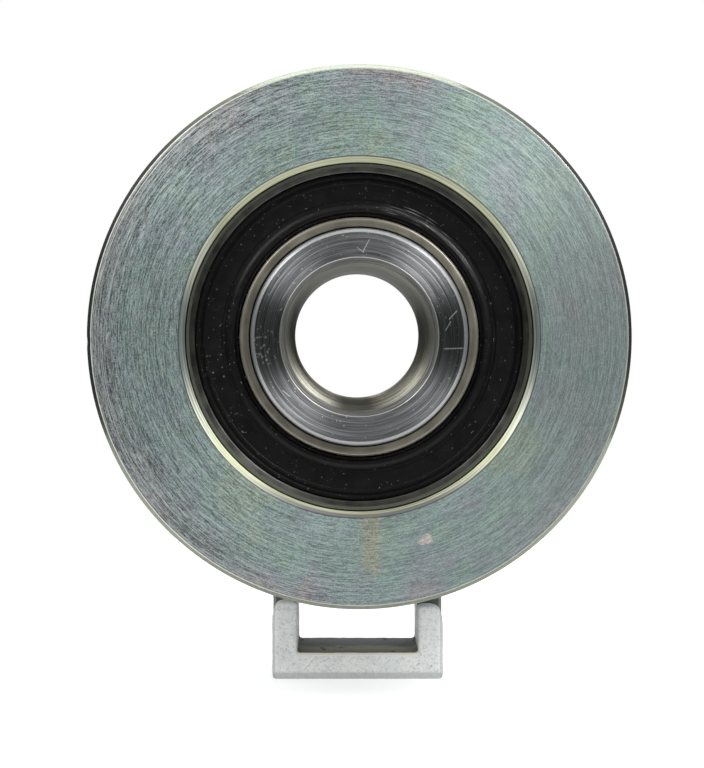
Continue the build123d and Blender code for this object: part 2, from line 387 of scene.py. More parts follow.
def plating_tint(g):
    """Mottled blue-green passivation: bluer on the left, with painted shade darkening it there,
    even on the right and lightened there with painted light, grey at the rim.
    """
    cloud = g.noise(g.place, 0.075, 3.0, 0.6)
    outward = g.stretch(g.radius, LIP_R, TYRE_R, -0.09, 0.07)
    colour = g.ramp(g.add(cloud, outward), [
        (0.33, (0.305, 0.378, 0.305)),
        (0.42, (0.270, 0.362, 0.325)),
        (0.52, (0.270, 0.332, 0.332)),
        (0.61, (0.290, 0.317, 0.332)),
        (0.70, (0.330, 0.318, 0.322)),
    ])
    drift = g.times(g.noise(g.place, 0.05), 24.0)
    # Painted shade: the left side is mixed towards a darker blue, partly the plating's own bluer
    # tint.
    blue_tint_and_shade = g.stretch(g.add(g.x, drift), 10.0, -22.0, 0.0, 0.55)
    colour = g.mix(blue_tint_and_shade, colour, (0.208, 0.257, 0.262))
    near_rim = g.stretch(g.radius, TYRE_R - 7.0, TYRE_R - 1.5)
    greyed = g.times(near_rim, g.stretch(g.x, -6.0, -26.0, 0.0, 0.7))
    colour = g.mix(greyed, colour, (0.222, 0.236, 0.234))
    flecks = g.noise(g.place, 2.6, 2.0, 0.6, colour=True)
    colour = g.mix(g.stretch(g.x, 8.0, 30.0, 0.22, 0.11), colour, flecks, "OVERLAY")
    # Painted light: the right side is lightened towards a paler green-grey.
    return g.mix(g.stretch(g.x, 16.0, 34.0, 0.0, 0.55), colour, (0.268, 0.320, 0.306))


def worn_left(g):
    """How scoured the tyre's face is: most at the left and the rim, least at the right."""
    wander = g.times(g.noise(g.place, 0.09), 30.0)
    leftward = g.add(g.add(g.x, g.times(g.z, -0.25)), wander)
    return g.times(g.stretch(leftward, 45.0, -16.0), g.stretch(g.radius, 37.0, 41.5, 0.58, 1.0))


def lip_zone(g, colour, lip, shade):
    """Bright chamfer of the front lip, its cream partly its own metal and partly painted
    reflection, between two dark lines of painted shade, with painted shade on its lower outer half,
    and the wall behind it.
    """
    # Painted reflection: the chamfer's cream is partly its own bright metal, partly the lights and
    # floor it reflects.
    lip_metal_and_reflection = g.mix(g.noise(g.place, 0.3, 3.0), (0.54, 0.60, 0.35), (0.66, 0.645, 0.50))
    aside = g.math("ABSOLUTE", g.x)
    # Painted reflection: paler cream towards the left and right, greener at the far left and right.
    lip_metal_and_reflection = g.mix(g.stretch(aside, 23.0, 26.5), lip_metal_and_reflection, (0.90, 0.94, 0.78))
    lip_metal_and_reflection = g.mix(g.stretch(aside, 27.9, 29.1), lip_metal_and_reflection, (0.56, 0.66, 0.60))
    lip_metal_and_reflection = g.brightness(lip_metal_and_reflection, g.stretch(g.rings(1.5, 6.0, 3.0), 0.35, 0.60, 0.62, 1.12))
    colour = g.mix(g.times(lip, 0.95), colour, lip_metal_and_reflection)
    # Painted shade on the outer half of the chamfer, low down.
    outer_half = g.stretch(g.radius, LIP_R + 0.55, LIP_R + 0.70)
    shaded = g.times(g.stretch(g.z, -18.0, -27.0), outer_half)
    colour = g.mix(g.times(lip, g.times(shaded, 0.85)), colour, (0.19, 0.18, 0.21))
    wall = g.fade(g.radius, LIP_R + 0.03, LIP_R + 0.06)
    colour = g.mix(wall, colour, g.brightness((0.19, 0.20, 0.155), shade))
    # Painted shade: a near-black line in the groove just inside the chamfer.
    line_inside = g.band(g.radius, LIP_R + 0.06, LIP_R + 0.22, 0.04)
    colour = g.mix(line_inside, colour, (0.01, 0.01, 0.01))
    # Painted shade: a dark line along the chamfer's outer edge.
    mouth_r = LIP_R + LIP_MOUTH
    line_outside = g.band(g.radius, mouth_r + 0.02, mouth_r + 0.17, 0.06)
    return g.mix(g.times(line_outside, 0.8), colour, (0.085, 0.09, 0.095))


def rim_zone(g, colour, rim, arcs):
    """Chamfer at the tread with painted shade at the left and right, and a bright burr, partly bare
    metal and partly painted highlight, that is broken on the left.
    """
    rim_r = TYRE_R - TREAD_EDGE
    # Painted shade: the rim chamfer darkens at the left and right.
    painted_shade_left = g.times(g.stretch(g.x, -24.0, -35.0), g.stretch(g.z, -26.0, -8.0))
    painted_shade_right = g.times(g.stretch(g.x, 22.0, 34.0), g.stretch(g.z, -14.0, -4.0))
    dark = g.larger(painted_shade_left, painted_shade_right)
    rim_tint = g.mix(dark, (0.255, 0.292, 0.21), (0.055, 0.06, 0.055))
    colour = g.mix(g.times(rim, 0.9), colour, rim_tint)
    # Painted highlight: the burr's near-white line, whiter on the left, and its broken dashes; the
    # burr itself is real.
    burr = g.band(g.radius, rim_r - 0.12, rim_r - 0.02, 0.04)
    broken = g.band(g.radius, rim_r - 0.75, rim_r - 0.60, 0.08)
    broken = g.times(broken, g.stretch(arcs, 0.1, 0.5))
    burr = g.larger(burr, g.times(broken, g.stretch(g.x, -8.0, -26.0)))
    burr_tint = g.mix(g.stretch(g.x, -8.0, -28.0), (0.80, 0.78, 0.68), (1.0, 0.98, 0.90))
    strength = g.stretch(g.x, -8.0, -28.0, 0.7, 0.95)
    return g.mix(g.times(burr, strength), colour, burr_tint)


def tyre_blemishes(g, colour, shade):
    """Pink blotch and brown stain below the bearing, and one short scratch at the far left."""
    blotch = g.larger(
        g.spot(11.2, -33.2, 0.6, 0.4, 0.9),
        g.spot(10.3, -33.6, 0.25, 0.6, 0.8),
    )
    colour = g.mix(g.times(blotch, 0.68), colour, g.brightness((0.66, 0.58, 0.54), shade))
    drift = g.add(g.x, g.times(g.noise(g.place, 0.5, 3.0), 3.0))
    stain = g.times(g.band(drift, 2.9, 3.9, 1.7), g.band(g.z, -38.0, -30.5, 2.0))
    colour = g.mix(g.times(stain, 0.48), colour, g.brightness((0.40, 0.345, 0.23), shade))
    scratch = g.scratch(-41.4, 0.2, 70, 1.5, 0.22)
    return g.mix(g.times(scratch, 0.7), colour, (0.78, 0.82, 0.82))


def plated_steel():
    """Turned steel under blue-green passivated zinc, with short turning marks."""
    g = Graph("plated_steel", Anisotropic=0.6, Anisotropic_Rotation=ACROSS_MARKS)
    g.turned_tangent()
    fine = g.rings(40.0, 7.5)
    dashes = g.rings(16.0, 5.0)
    lines = g.rings(3.0, 3.8, 4.0)
    grit = g.noise(g.place, 3.6, 2.0, 0.7)
    marks = g.add(
        g.times(g.stretch(fine, 0.38, 0.62), 0.28),
        g.times(g.stretch(dashes, 0.36, 0.64), 0.18),
    )
    marks = g.add(marks, g.times(g.stretch(lines, 0.36, 0.64), 0.26))
    marks = g.add(marks, g.times(g.stretch(grit, 0.38, 0.62), 0.28))

    worn = worn_left(g)
    low = g.stretch(worn, 0.0, 1.0, 0.68, 0.22)
    high = g.stretch(worn, 0.0, 1.0, 1.32, 1.84)
    contrast = g.stretch(marks, 0.24, 0.76)
    shade = g.add(g.times(contrast, g.math("SUBTRACT", high, low)), low)
    glints = g.times(g.stretch(dashes, 0.62, 0.70), g.stretch(worn, 0.0, 1.0, 0.10, 0.55))
    colour = g.mix(glints, g.brightness(plating_tint(g), shade), (0.66, 0.70, 0.68))
    arcs = g.stretch(g.rings(1.1, 7.5, 3.0), 0.57, 0.66)
    rim_wear = g.band(g.radius, TYRE_R - 3.4, TYRE_R - 1.0, 0.7)
    rim_wear = g.times(rim_wear, g.stretch(g.x, -8.0, -24.0, 0.0, 0.75))
    colour = g.mix(g.times(arcs, rim_wear), colour, (0.62, 0.64, 0.61))

    lip = g.band(g.radius, LIP_R + 0.16, LIP_R + LIP_MOUTH + 0.02, 0.03)
    colour = lip_zone(g, colour, lip, shade)
    y_front, rim_r = front("tyre"), TYRE_R - TREAD_EDGE
    rim = g.stretch(g.radius, rim_r + 0.03, rim_r + 0.08)
    rim = g.times(rim, g.fade(g.y, y_front + 0.9, y_front + 1.1))
    colour = rim_zone(g, colour, rim, arcs)
    g.set("Base Color", tyre_blemishes(g, colour, shade))
    g.set("Metallic", g.stretch(lip, 0.0, 1.0, 0.62, 1.0))
    gloss = g.stretch(marks, 0.0, 1.0, 0.40, 0.54)
    g.set("Roughness", g.times(gloss, g.stretch(rim, 0.0, 1.0, 1.0, 0.32)))
    g.bump(g.add(g.times(fine, 0.7), g.add(dashes, g.times(lines, 0.8))), 0.5, 0.03)
    return g.material


def ring_steel():
    """Ground bearing steel under a film of oil, which leaves it dark with bright smears."""
    g = Graph("ring_steel", Metallic=1.0, Anisotropic=0.8, Anisotropic_Rotation=ACROSS_MARKS)
    g.turned_tangent()
    marks = g.rings(3.0, 5.0)
    smear = g.noise(g.place, 0.35, 3.0)
    base = g.mix(g.stretch(smear, 0.35, 0.65), (0.11, 0.11, 0.105), (0.20, 0.20, 0.185))
    base = g.mix(g.times(g.stretch(marks, 0.45, 0.7), 0.5), base, (0.05, 0.05, 0.048))
    g.set("Base Color", base)
    g.set("Roughness", g.stretch(smear, 0.3, 0.7, 0.34, 0.48))
    g.bump(marks, 0.3, 0.02)
    return g.material


def oiled_ring_steel():
    """Warm grey ground face of the inner ring, with a painted highlight at its outer edge and
    painted shade, near black, where it meets the collar.
    """
    g = Graph(
        "oiled_ring_steel", Metallic=0.72, Anisotropic=0.4, Anisotropic_Rotation=ACROSS_MARKS
    )
    g.turned_tangent()
    marks = g.rings(2.5, 6.0)
    smear = g.noise(g.place, 0.30, 3.0)
    base = g.mix(g.stretch(smear, 0.35, 0.65), (0.25, 0.235, 0.185), (0.34, 0.32, 0.26))
    base = g.brightness(base, g.stretch(marks, 0.3, 0.7, 0.78, 1.15))
    # Painted highlight on the chamfer at the ring's outer edge.
    edge = g.stretch(g.radius, LAND_R - 0.75, LAND_R - 0.35)
    base = g.mix(g.times(edge, 0.6), base, (0.50, 0.47, 0.40))
    # Painted shade: a near-black band in the crevice at the collar.
    crevice_shade_r = COLLAR_R + 0.55
    base = g.mix(g.fade(g.radius, crevice_shade_r, crevice_shade_r + 0.12), base, (0.003, 0.003, 0.003))
    g.set("Base Color", base)
    g.set("Roughness", g.stretch(smear, 0.3, 0.7, 0.30, 0.42))
    g.bump(marks, 0.3, 0.02)
    return g.material


def seal_rubber():
    """Moulded nitrile rubber: satin black, with flow marks, dust and smeared grease, the grease's
    pale streaks partly painted sheen.
    """
    g = Graph("seal_rubber", IOR=1.45, Specular_IOR_Level=0.28)
    base = g.mix(g.noise(g.place, 0.4, 3.0), (0.0025, 0.0025, 0.0025), (0.006, 0.006, 0.006))
    dust = g.add(g.noise(g.place, 2.4), g.times(g.spot(-21.5, -4.5, 2.0, 5.0), 0.03))
    upper_right = g.times(g.band(g.x, 5.5, 17.5, 2.0), g.stretch(g.z, 8.0, 12.0))
    grease = g.times(upper_right, g.band(g.radius, 21.2, 23.2, 0.3))
    grease = g.times(grease, g.stretch(g.rings(4.0, 5.0, 3.0), 0.58, 0.66))
    base = g.mix(g.times(g.stretch(dust, 0.70, 0.73), 0.7), base, (0.22, 0.22, 0.21))
    # Painted sheen: the grease streaks, real grease, are lightened to pale grey where they would
    # shine.
    base = g.mix(g.times(grease, 0.6), base, (0.30, 0.30, 0.30))
    g.set("Base Color", base)
    gloss = g.stretch(g.noise(g.place, 0.5, 3.0), 0.3, 0.7, 0.30, 0.44)
    g.set("Roughness", g.add(gloss, g.times(grease, -0.22)))
    g.bump(g.add(g.rings(2.0, 6.0), g.noise(g.place, 5.0, 3.0)), 0.25, 0.02)
    return g.material


# Scratches as (x, z, angle, length, width)
COLLAR_SCRATCHES = (
    (1.1, 15.0, 62, 2.6, 0.10),
    (0.2, 14.3, -35, 1.6, 0.07),
    (15.5, -1.9, 2, 3.6, 0.17),
    (14.6, 1.8, 60, 2.0, 0.13),
    (15.4, 3.6, 48, 2.2, 0.14),
    (-9.4, 8.6, 50, 2.4, 0.09),
    (-12.0, -9.3, -40, 1.8, 0.09),
)


def bore_wall_painted_light(g, lower):
    """Bore wall: drawn rings, painted light on the lower side with speckles, and a dark smear of
    painted shade at the bottom middle.
    """
    drawn = g.rings(0.7, 0.26, 5.0, 0.75)
    # Painted light: the lower side of the bore wall, reached by the upper lamps, is near white.
    wall_tone_and_light = g.mix(lower, (0.34, 0.345, 0.32), (0.99, 0.97, 0.80))
    speckle = g.times(g.stretch(g.noise(g.place, 1.7, 3.0, 0.7), 0.52, 0.40), lower)
    wall_tone_and_light = g.mix(g.times(speckle, 0.5), wall_tone_and_light, (0.20, 0.20, 0.16))
    wall_tone_and_light = g.mix(g.stretch(drawn, 0.36, 0.56), (0.19, 0.19, 0.17), wall_tone_and_light)
    # Painted shade: a dark smear at the bottom middle, between the lit lower sides.
    smear = g.band(g.add(g.x, g.times(drawn, 3.0)), -1.2, 3.4, 2.4)
    return g.mix(g.times(g.times(smear, lower), 0.85), wall_tone_and_light, (0.12, 0.12, 0.10))


def turned_steel():
    """Bright steel with the tool's rings, which fan reflections out, a few scratches, a painted
    highlight at the bore's mouth and painted light and shade on the bore wall.
    """
    g = Graph("turned_steel", Anisotropic_Rotation=ACROSS_MARKS)
    g.turned_tangent()
    coarse = g.rings(0.9, 4.6, 3.0)
    fine = g.rings(2.6, 9.0)
    base = g.mix(
        g.stretch(coarse, 0.38, 0.62), (0.190, 0.198, 0.202), (0.245, 0.252, 0.255)
    )
    base = g.brightness(base, g.stretch(fine, 0.34, 0.66, 0.54, 1.20))

    dust = g.add(g.noise(g.place, 2.2, 3.0), g.times(g.spot(-16.0, -1.5, 1.6, 2.2), 0.10))
    worn = g.times(g.stretch(dust, 0.68, 0.73), 0.6)
    for scratch in COLLAR_SCRATCHES:
        worn = g.larger(worn, g.scratch(*scratch))
    base = g.mix(g.times(worn, 0.95), base, (0.98, 0.98, 0.96))
    for groove_r in COLLAR_GROOVES:
        groove = g.band(g.radius, groove_r - 0.02, groove_r + 0.02, 0.06)
        base = g.mix(g.times(groove, 0.35), base, (0.60, 0.61, 0.61))

    mouth_r = SLEEVE_BORE_R + BORE_MOUTH
    mouth = g.fade(g.radius, mouth_r - 0.04, mouth_r)
    bored = g.stretch(g.rings(1.6, 7.0, 3.0), 0.38, 0.62)
    base = g.mix(mouth, base, g.mix(bored, (0.10, 0.10, 0.092), (0.25, 0.25, 0.235)))
    # Painted highlight: a bright thin line along the bore chamfer's outer edge.
    mouth_highlight = g.band(g.radius, mouth_r - 0.01, mouth_r + 0.06, 0.04)
    base = g.mix(g.times(mouth_highlight, 0.9), base, (0.95, 0.95, 0.94))
    wall = g.fade(g.radius, SLEEVE_BORE_R + 0.01, SLEEVE_BORE_R + 0.04)
    # The bore wall's lower side, which gets painted light.
    lower = g.stretch(g.z, 0.0, -8.0)
    base = g.mix(wall, base, bore_wall_painted_light(g, lower))
    edge_r, y_front = COLLAR_R - COLLAR_EDGE, front("sleeve")
    collar_edge = g.times(
        g.stretch(g.radius, edge_r + 0.13, edge_r + 0.18),
        g.fade(g.y, y_front + 1.2, y_front + 1.3),
    )
    base = g.mix(g.times(collar_edge, 0.85), base, (0.47, 0.475, 0.48))
    g.set("Base Color", base)

    dulled = g.larger(mouth, g.times(collar_edge, 0.6))
    wall_shine = g.times(wall, g.add(g.times(lower, 0.3), 0.12))
    g.set("Metallic", g.add(g.stretch(dulled, 0.0, 1.0, 1.0, 0.5), wall_shine))
    gloss = g.add(g.stretch(fine, 0.3, 0.7, 0.36, 0.46), g.times(worn, 0.30))
    gloss = g.add(gloss, g.times(mouth, g.stretch(wall, 0.0, 1.0, 0.16, 0.04)))
    g.set("Roughness", g.times(gloss, g.stretch(collar_edge, 0.0, 1.0, 1.0, 0.72)))
    g.set("Anisotropic", g.stretch(collar_edge, 0.0, 1.0, 0.95, 0.3))
    g.bump(g.add(fine, g.times(coarse, 0.8)), 0.35, 0.02)
    return g.material


# Scuffs below the eye as (x, z, angle, length)
LUG_SCUFFS = (
    (-8.9, -60.4, 48, 2.2),
    (-9.6, -61.3, 40, 1.9),
    (-8.2, -61.4, 52, 1.4),
    (5.4, -60.3, 42, 1.5),
)


def eye_grime(g, base, across):
    """Grey eye floor with soot and drops, darker at the front, under a painted highlight along the
    front edge.
    """
    inside = g.fade(across, EYE_HALF_X + 0.25, EYE_HALF_X + 0.35)
    inside = g.times(inside, g.stretch(g.y, 12.9, 13.2))
    floor = g.times(inside, g.band(g.z, EYE_FLOOR_Z - 0.5, EYE_FLOOR_Z + 0.6, 0.1))
    base = g.mix(g.times(floor, 0.92), base, (0.10, 0.107, 0.112))
    soot = g.fade(g.add(g.y, g.times(g.noise(g.place, 0.5, 3.0), 5.0)), 18.6, 20.6)
    soot_tint = g.mix(g.stretch(g.y, 17.0, 13.4), (0.36, 0.35, 0.25), (0.17, 0.16, 0.115))
    base = g.mix(g.times(floor, g.times(soot, 0.85)), base, soot_tint)
    drops = g.stretch(g.noise(g.place, 0.50), 0.685, 0.72)
    base = g.mix(g.times(floor, drops), base, (0.03, 0.03, 0.03))
    lit_edge = g.times(
        g.band(g.z, EYE_FLOOR_Z - 0.50, EYE_FLOOR_Z - 0.02, 0.08),
        g.fade(across, EYE_HALF_X, EYE_HALF_X + 0.3),
    )
    lit_edge = g.times(lit_edge, g.stretch(g.y, 12.9, 13.0, 0.8, 0.0))
    return g.mix(lit_edge, base, (0.99, 0.95, 0.84))


def cast_aluminium():
    """Fine-grained light casting: flecks, pits, scuffs, painted shade on the side and foot bevels,
    and painted shadow of the tyre on the web behind it.
    """
    g = Graph("cast_aluminium")
    grain = g.noise(g.place, 2.2, 5.0, 0.72)
    cloud = g.noise(g.place, 0.16, 3.0)
    base = g.mix(g.stretch(cloud, 0.3, 0.7), (0.84, 0.865, 0.855), (0.97, 0.985, 0.975))
    patchy = g.stretch(g.noise(g.place, 0.45, 3.0), 0.36, 0.56)
    flecks = g.stretch(g.noise(g.place, 2.3, 2.0, 0.6), 0.49, 0.53)
    base = g.mix(g.times(flecks, g.times(patchy, 0.9)), base, (1.0, 1.0, 0.97))
    base = g.mix(g.times(g.stretch(grain, 0.48, 0.39), 0.55), base, (0.50, 0.53, 0.52))
    pits = g.stretch(g.noise(g.place, 2.6, 3.0, 0.6), 0.62, 0.74)
    base = g.mix(g.times(pits, 0.7), base, (0.30, 0.31, 0.31))
    for x, z, angle, length in LUG_SCUFFS:
        shadow = g.scratch(x + 0.17, z - 0.24, angle, length, 0.16)
        base = g.mix(g.times(shadow, 0.55), base, (0.45, 0.46, 0.45))
        base = g.mix(g.scratch(x, z, angle, length, 0.34), base, (1.0, 1.0, 0.98))

    across = g.math("ABSOLUTE", g.x)
    base = eye_grime(g, base, across)
    # Painted shadow: the web's face just behind the tyre is near black.
    web_face = g.band(g.y, WEB_FRONT_Y - 0.6, WEB_FRONT_Y + 0.35, 0.3)
    behind = g.times(web_face, g.band(g.z, -52.0, -40.0, 2.0))
    base = g.mix(g.times(behind, 0.95), base, (0.05, 0.06, 0.045))
    # Painted shade on the lug's side bevels, low down.
    side = g.stretch(across, LUG_HALF_X - 0.75, LUG_HALF_X - 0.5)
    side = g.times(side, g.stretch(g.z, -44.0, -48.0))
    base = g.mix(g.times(side, 0.5), base, (0.40, 0.42, 0.41))
    # Painted shade on the foot bevel next to the floor.
    foot = g.stretch(g.z, LUG_BOTTOM_Z + 1.55, LUG_BOTTOM_Z + 1.2)
    base = g.mix(g.times(foot, 0.5), base, (0.48, 0.50, 0.49))
    g.set("Base Color", base)
    g.set("Roughness", g.stretch(grain, 0.3, 0.7, 0.46, 0.68))
    g.bump(g.add(grain, g.times(pits, -0.6)), 0.6, 0.13)
    return g.material


def spring_steel():
    """Phosphated spring steel: mottled dark grey."""
    g = Graph("spring_steel", Metallic=0.8)
    grain = g.noise(g.place, 2.2, 4.0, 0.6)
    mottle = g.stretch(grain, 0.35, 0.7)
    g.set("Base Color", g.mix(mottle, (0.045, 0.047, 0.05), (0.12, 0.12, 0.12)))
    g.set("Roughness", g.stretch(grain, 0.3, 0.7, 0.35, 0.55))
    g.bump(grain, 0.3, 0.03)
    return g.material


def sheet_steel():
    """Pressed sheet, unevenly bright."""
    g = Graph("sheet_steel", Metallic=1.0)
    grain = g.noise(g.place, 1.4, 4.0)
    g.set("Base Color", g.mix(grain, (0.40, 0.40, 0.41), (0.62, 0.62, 0.61)))
    g.set("Roughness", g.stretch(grain, 0.3, 0.7, 0.28, 0.45))
    g.bump(grain, 0.2, 0.02)
    return g.material


def ball_steel():
    """Polished bearing steel with a thin smear of grease."""
    g = Graph("ball_steel", Metallic=1.0)
    smear = g.noise(g.place, 0.6, 3.0)
    g.set("Base Color", g.mix(smear, (0.62, 0.61, 0.58), (0.80, 0.80, 0.80)))
    g.set("Roughness", g.stretch(smear, 0.35, 0.7, 0.06, 0.2))
    return g.material


MATERIALS = {
    make.__name__: make()
    for make in (
        plated_steel, ring_steel, oiled_ring_steel, seal_rubber, turned_steel,
        cast_aluminium, spring_steel, sheet_steel, ball_steel,
    )
}


# ---- Roller ---------------------------------------------------------------------------------
TYRE_NICKS = (  # (angle, reach, depth) around the rim
    (181, 1.3, 0.16), (40, 0.8, 0.08), (118, 0.7, 0.07), (236, 0.9, 0.08), (305, 0.6, 0.07),
)


def make_tyre():
    """Tyre with a lip in front of the bearing, a burred rim and a circlip groove behind."""
    y_front, y_rear = front("tyre"), rear("tyre")
    ring_front, ring_rear = front("bearing_outer_ring"), rear("bearing_outer_ring")
    clip_rear = rear("tyre_circlip") + 0.1
    groove_r = outer_radius("tyre_circlip") + 0.1
    mouth_r, mouth_y = LIP_R + LIP_MOUTH, y_front + LIP_MOUTH
    rim_r = TYRE_R - TREAD_EDGE
    outline = rounded([
        (mouth_r, y_front, 0.05),
        (mouth_r + 0.05, y_front, 0),
        (mouth_r + 0.10, y_front + 0.06, 0.03),
        (mouth_r + 0.17, y_front, 0.03),
        *((r, y_front, 0) for r in (33.0, 37.0, 41.0)),
        (rim_r - 0.12, y_front, 0.05),
        (rim_r, y_front, 0.04),
        (rim_r + 0.08, y_front + 0.08, 0.04),
        (TYRE_R - 0.06, y_front + TREAD_EDGE, 0.1),
        (TYRE_R, y_front + TREAD_EDGE + 0.1, 0.05),
        *((TYRE_R, y, 0) for y in (-6.0, 0.0, 6.0)),
        (TYRE_R, y_rear - TREAD_EDGE, 0.15),
        (rim_r, y_rear, 0.12),
        (38.0, y_rear, 0),
        (RING_R + 1.0, y_rear, 0.12),
        (RING_R, y_rear - 1.0, 0.12),
        (RING_R, clip_rear, 0.05),
        (groove_r, clip_rear, 0),
        (groove_r, ring_rear, 0),
        (RING_R, ring_rear, 0),
        (RING_R, ring_front, 0),
        (LIP_R, ring_front, 0.05),
        (LIP_R, mouth_y + 0.10, 0.03),
        (LIP_R + 0.03, mouth_y + 0.08, 0),
        (LIP_R + 0.05, mouth_y + 0.30, 0),
        (LIP_R + 0.13, mouth_y + 0.30, 0),
        (LIP_R + 0.15, mouth_y - 0.10, 0.02),
        (LIP_R + 0.30, mouth_y - 0.26, 0),
        (mouth_r - 0.15, y_front + 0.15, 0),
    ])
    mesh = lathe("tyre_body", outline, TYRE_TURNS)
    middle_r, middle_y = TYRE_R - TREAD_EDGE / 2, y_front + TREAD_EDGE / 2
    for degrees, reach, depth in TYRE_NICKS:
        angle = radians(degrees)
        at = (middle_r * cos(angle), middle_y, middle_r * sin(angle))
        nick(mesh, at, reach, depth, (-cos(angle), 1, -sin(angle)))
    return piece("tyre_body", mesh, "roller", "plated_steel", "tyre")


def race(side, half_angle, steps=24):
    """Ball groove of the outer (side 1) or inner (side -1) ring, from rear to front."""
    angles = [radians(half_angle - 2 * half_angle * k / steps) for k in range(steps + 1)]
    return [(PITCH_R + side * RACE_R * cos(a), RACE_R * sin(a)) for a in angles]


def make_outer_ring():
    """Outer ring with a seal seat at each end and the ball groove between."""
    y_front, y_rear = front("bearing_outer_ring"), rear("bearing_outer_ring")
    outline = rounded([
        (SEAL_R + 0.02, y_front + 0.06, 0.04),
        (SEAL_R + 0.12, y_front, 0.06),
        (LIP_R + 0.3, y_front, 0),
        (RING_R - 1.0, y_front, 0.3),
        (RING_R, y_front + 1.0, 0.3),
        (RING_R, y_rear - 1.0, 0.3),
        (RING_R - 1.0, y_rear, 0.3),
        (SEAL_R + 0.12, y_rear, 0.06),
        (SEAL_R, y_rear - 0.1, 0.04),
        (SEAL_R, SEAL_SEAT_Y, 0),
        (OUTER_LAND_R, SEAL_SEAT_Y, 0.08),
    ]) + race(1, 48.7) + rounded([
        (OUTER_LAND_R, -SEAL_SEAT_Y, 0.08),
        (SEAL_R, -SEAL_SEAT_Y, 0),
    ])
    mesh = lathe("outer_ring", outline)
    return piece("outer_ring", mesh, "roller", "ring_steel", "bearing_outer_ring")


def make_seal(end, side):
    """Rubber seal: lip, round rib, grooves, flat, faint step and round bead."""
    outline = [(r, side * y) for r, y in rounded([
        (20.45, SEAL_BACK_Y, 0.05),
        (20.45, 7.12, 0.05),
        (20.84, 7.20, 0.1),
        (20.94, 7.86, 0.18),
        (21.40, 8.0, 0.22),
        (22.05, 7.86, 0.35),
        (22.62, 7.50, 0.10),
        (22.70, SEAL_GROOVE_Y, 0.04),
        (23.08, SEAL_GROOVE_Y + 0.02, 0.06),
        (23.16, SEAL_FACE_Y, 0.06),
        (25.55, SEAL_FACE_Y, 0),
        (25.80, SEAL_FACE_Y, 0.03),
        (25.86, SEAL_FACE_Y + 0.05, 0.03),
        (26.36, SEAL_FACE_Y + 0.03, 0.06),
        (26.44, SEAL_GROOVE_Y, 0.05),
        (26.76, SEAL_GROOVE_Y, 0.05),
        (26.84, 7.86, 0.12),
        (27.44, 7.88, 0.12),
        (27.52, 7.35, 0.03),
        (SEAL_R, 7.35, 0),
        (SEAL_R, SEAL_SEAT_Y, 0),
        (26.9, SEAL_SEAT_Y, 0),
        (26.9, SEAL_BACK_Y, 0),
    ])]
    name = f"rubber_seal_{end}"
    mesh = lathe(name, outline)
    return piece(name, mesh, "roller", "seal_rubber", f"seal_{end}")


def circlip_outlines(outer, inner, shift, gap_half, ear_r, ear_centre_r, hole_r, outward):
    """Eccentric ring with a gap at the top, and an ear with a hole at each end of it."""
    right, left = radians(90 - gap_half), radians(90 + gap_half)
    centres = [(ear_centre_r * cos(a), ear_centre_r * sin(a)) for a in (right, left)]
    sweep = radians(360 - 2 * gap_half)
    far = circle(outer, (0, -shift if outward else 0), 160, left, sweep)
    near = circle(inner, (0, 0 if outward else shift), 160, left, sweep)
    right_ear = circle(ear_r, centres[0], 20, right, pi)
    left_ear = circle(ear_r, centres[1], 20, left + pi, pi)
    outline = far + right_ear + near[::-1] + left_ear
    return [outline] + [circle(hole_r, centre, 24) for centre in centres]


def make_tyre_circlip():
    """Internal circlip: its ears point inwards."""
    outlines = circlip_outlines(
        outer=32.4, inner=28.2, shift=0.6, gap_half=13,
        ear_r=2.5, ear_centre_r=29.6, hole_r=1.2, outward=False,
    )
    y_front, y_rear = front("tyre_circlip"), rear("tyre_circlip")
    mesh = plate("tyre_circlip_ring", outlines, y_front, y_rear, 0.15)
    return piece("tyre_circlip_ring", mesh, "roller", "spring_steel", "tyre_circlip")


# ---- Fixed middle ---------------------------------------------------------------------------
def make_inner_ring():
    """Inner ring with the ball groove around its outside."""
    y_front, y_rear = front("bearing_inner_ring"), rear("bearing_inner_ring")
    outline = rounded([
        (LAND_R, y_front + 0.35, 0.1),
        (LAND_R - 0.3, y_front, 0.1),
        (RING_BORE_R + 1.0, y_front, 0.2),
        (RING_BORE_R, y_front + 1.0, 0.2),
        (RING_BORE_R, y_rear - 1.0, 0.2),
        (RING_BORE_R + 1.0, y_rear, 0.2),
        (LAND_R - 0.3, y_rear, 0.1),
        (LAND_R, y_rear - 0.35, 0.1),
    ]) + race(-1, 54)
    mesh = lathe("inner_ring", outline)
    return piece("inner_ring", mesh, "hub", "oiled_ring_steel", "bearing_inner_ring")


